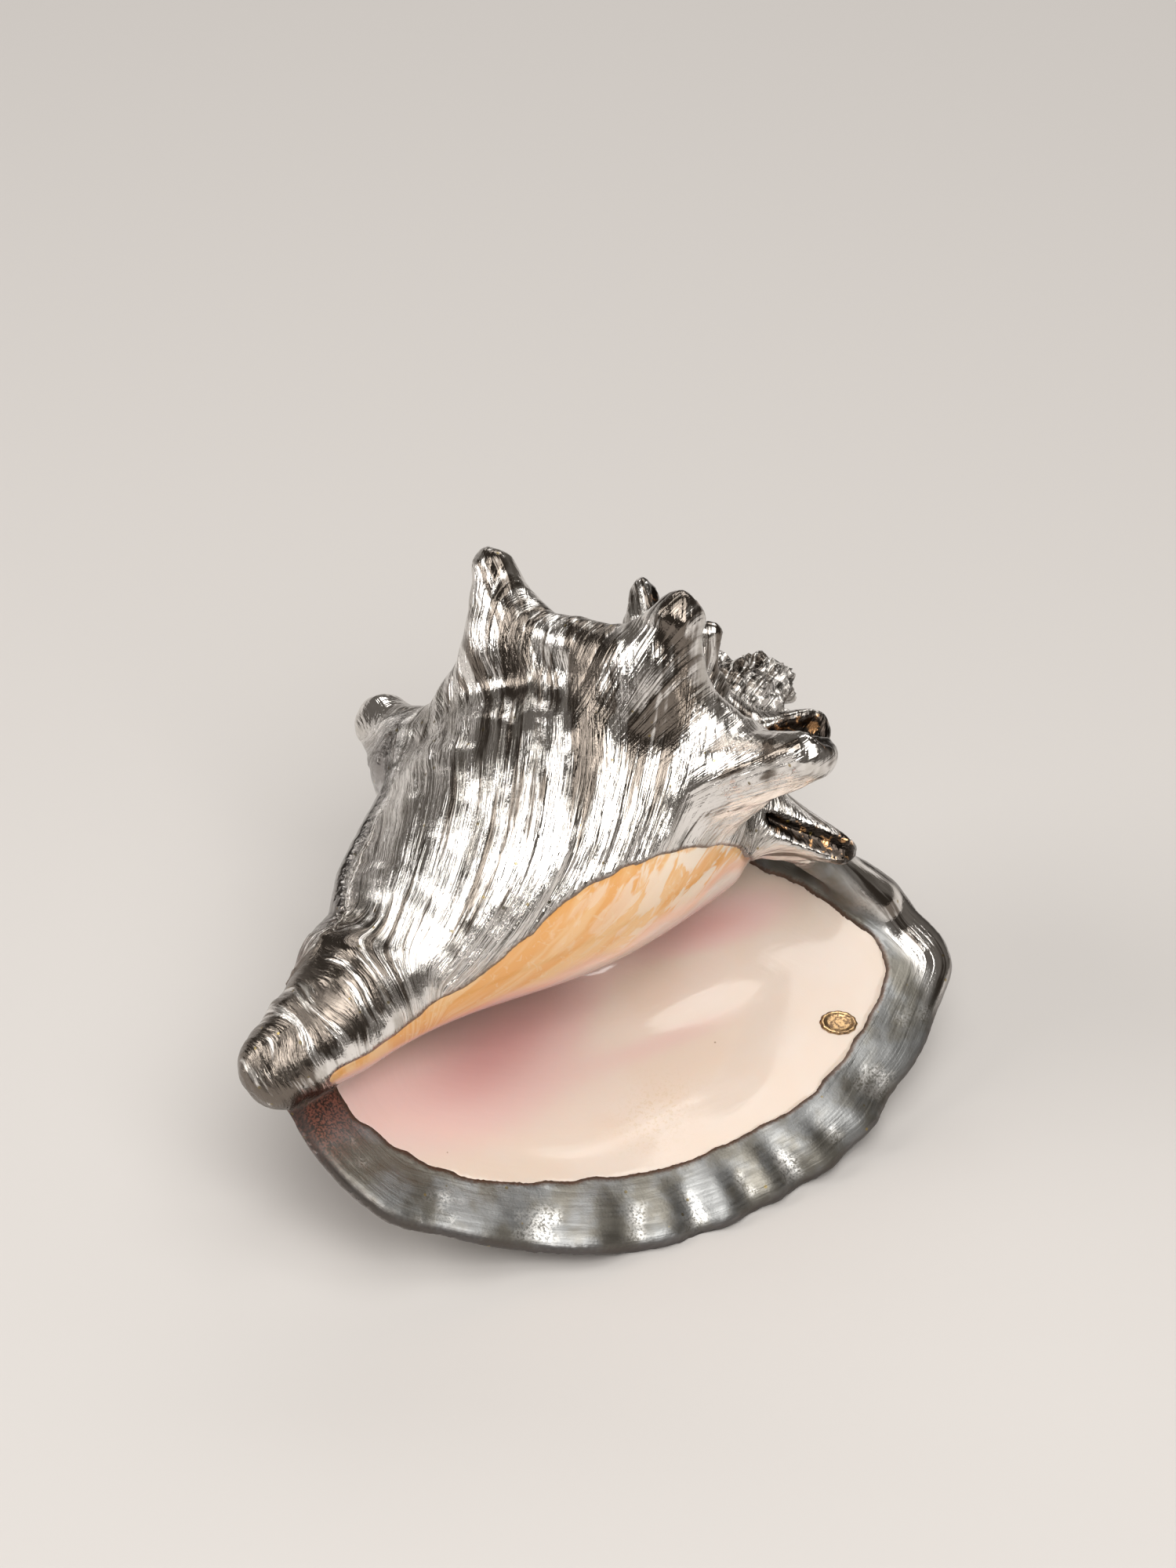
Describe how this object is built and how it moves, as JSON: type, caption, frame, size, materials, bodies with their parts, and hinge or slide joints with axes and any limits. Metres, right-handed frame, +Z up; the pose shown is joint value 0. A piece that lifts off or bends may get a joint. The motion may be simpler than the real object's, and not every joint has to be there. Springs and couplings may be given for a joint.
{
  "type": "conch shell",
  "caption": "Queen conch shell with a silver-plated outside and lip band over bare orange and pink porcelain, standing on its flared lip and dorsal spines.",
  "frame": {"origin": "on the surface the shell rests on, under the middle of its bounding box", "axes": "+Z up as it rests, +X to the right as seen from the front, +Y to the back; the open side faces -Y, and the canal points to -X"},
  "size_m": [0.2198, 0.1936, 0.1725],
  "materials": {
    "silver": "silver plate, polished on the outside and satin on the lip band",
    "porcelain": "natural glossy shell, orange callus to cream and pink",
    "gilt": "dull gilt"
  },
  "bodies": {
    "root": {"shell": "silver", "seal": "gilt"}
  },
  "joints": []
}
